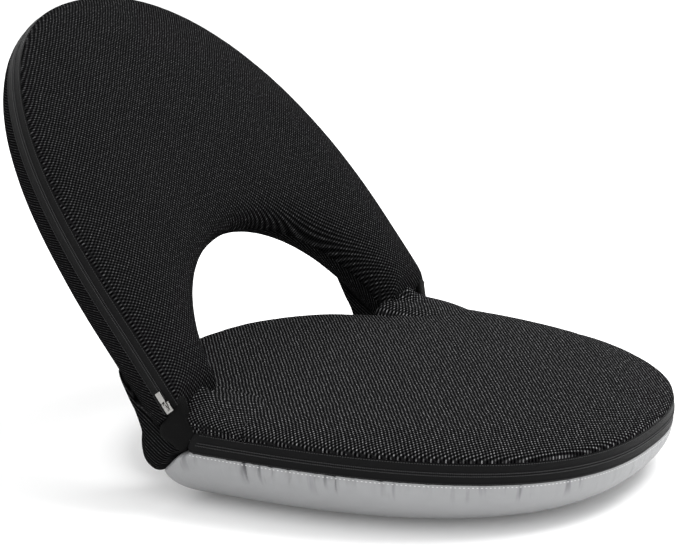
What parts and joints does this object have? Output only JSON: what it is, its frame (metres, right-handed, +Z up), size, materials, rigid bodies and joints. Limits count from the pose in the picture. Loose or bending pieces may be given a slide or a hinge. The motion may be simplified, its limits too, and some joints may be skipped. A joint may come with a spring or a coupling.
{
  "type": "folding floor chair",
  "caption": "Legless folding floor chair: padded half-oval seat flat on the floor and a padded arch backrest with a window, joined by hidden ratchet hinges.",
  "frame": {"origin": "middle of the seat's flat underside, on the floor", "axes": "+X to the right seen from the front, -Y towards the front of the seat, +Z up"},
  "size_m": [0.5572, 0.7144, 0.4613],
  "materials": {
    "mesh": "black polyester spacer mesh with small knit ribs",
    "zip_tape": "satin black woven zip tape",
    "zip_coil": "black nylon coil",
    "base_cloth": "silver-grey woven nylon",
    "foam": "polyurethane foam",
    "frame_steel": "black powder coat",
    "hinge_steel": "zinc-plated pressed steel",
    "nickel": "nickel plated"
  },
  "bodies": {
    "seat": {"seat_base_cover": "base_cloth", "seat_zip_tape": "zip_tape", "seat_zip_coil": "zip_coil", "seat_rear_band": "mesh", "seat_top_cover": "mesh", "seat_foam": "foam", "seat_frame_tube": "frame_steel", "seat_rear_crossbar": "frame_steel", "seat_front_crossbar": "frame_steel", "left_outer_cheek": "hinge_steel", "left_inner_cheek": "hinge_steel", "left_pivot_rivet": "hinge_steel", "left_seat_arm_rivet_1": "hinge_steel", "left_seat_arm_rivet_2": "hinge_steel", "left_pawl_pin": "hinge_steel", "left_pawl_spring": "hinge_steel", "left_hinge_gusset": "mesh", "right_outer_cheek": "hinge_steel", "right_inner_cheek": "hinge_steel", "right_pivot_rivet": "hinge_steel", "right_seat_arm_rivet_1": "hinge_steel", "right_seat_arm_rivet_2": "hinge_steel", "right_pawl_pin": "hinge_steel", "right_pawl_spring": "hinge_steel", "right_hinge_gusset": "mesh"},
    "backrest": {"backrest_front_cover": "mesh", "backrest_rear_cover": "mesh", "backrest_zip_tape": "zip_tape", "backrest_zip_coil": "zip_coil", "backrest_foam": "foam", "backrest_frame_tube": "frame_steel", "backrest_lower_crossbar": "frame_steel", "backrest_upper_crossbar": "frame_steel", "left_toothed_arm": "hinge_steel", "left_back_arm_rivet_1": "hinge_steel", "left_back_arm_rivet_2": "hinge_steel", "right_toothed_arm": "hinge_steel", "right_back_arm_rivet_1": "hinge_steel", "right_back_arm_rivet_2": "hinge_steel"},
    "left_pawl": {"left_pawl": "hinge_steel"},
    "right_pawl": {"right_pawl": "hinge_steel"},
    "backrest_zip_slider": {"backrest_zip_slider": "nickel"},
    "backrest_zip_pull": {"backrest_zip_pull": "nickel"},
    "seat_zip_slider": {"seat_zip_slider": "nickel"},
    "seat_zip_pull": {"seat_zip_pull": "nickel"}
  },
  "joints": [
    {"name": "backrest_recline", "type": "hinge", "parent": "seat", "child": "backrest", "pos_m": [0, 0.081, 0.0875], "axis": [1, 0, 0], "range_deg": [-50, 100], "deforming": ["left_hinge_gusset", "right_hinge_gusset"]},
    {"name": "left_pawl_lift", "type": "hinge", "parent": "seat", "child": "left_pawl", "pos_m": [-0.2287, 0.0611, 0.0782], "axis": [1, 0, 0], "range_deg": [0, 6.5], "stiffness_Nm_per_rad": 0.02},
    {"name": "right_pawl_lift", "type": "hinge", "parent": "seat", "child": "right_pawl", "pos_m": [0.2287, 0.0611, 0.0782], "axis": [1, 0, 0], "range_deg": [0, 6.5], "stiffness_Nm_per_rad": 0.02},
    {"name": "backrest_zip_slide", "type": "slide", "parent": "backrest", "child": "backrest_zip_slider", "axis": [0, 0.6081, 0.7939], "range_m": [0, 0.08]},
    {"name": "backrest_pull_swing", "type": "hinge", "parent": "backrest_zip_slider", "child": "backrest_zip_pull", "pos_m": [-0.2794, 0.11628, 0.10907], "axis": [0, -0.7939, 0.6081], "range_deg": [0, 170]},
    {"name": "seat_zip_slide", "type": "slide", "parent": "seat", "child": "seat_zip_slider", "axis": [0, -1, 0], "range_m": [0, 0.06]},
    {"name": "seat_pull_swing", "type": "hinge", "parent": "seat_zip_slider", "child": "seat_zip_pull", "pos_m": [0.2734, 0.0658, 0.072], "axis": [0, 0, 1], "range_deg": [0, 170]}
  ]
}
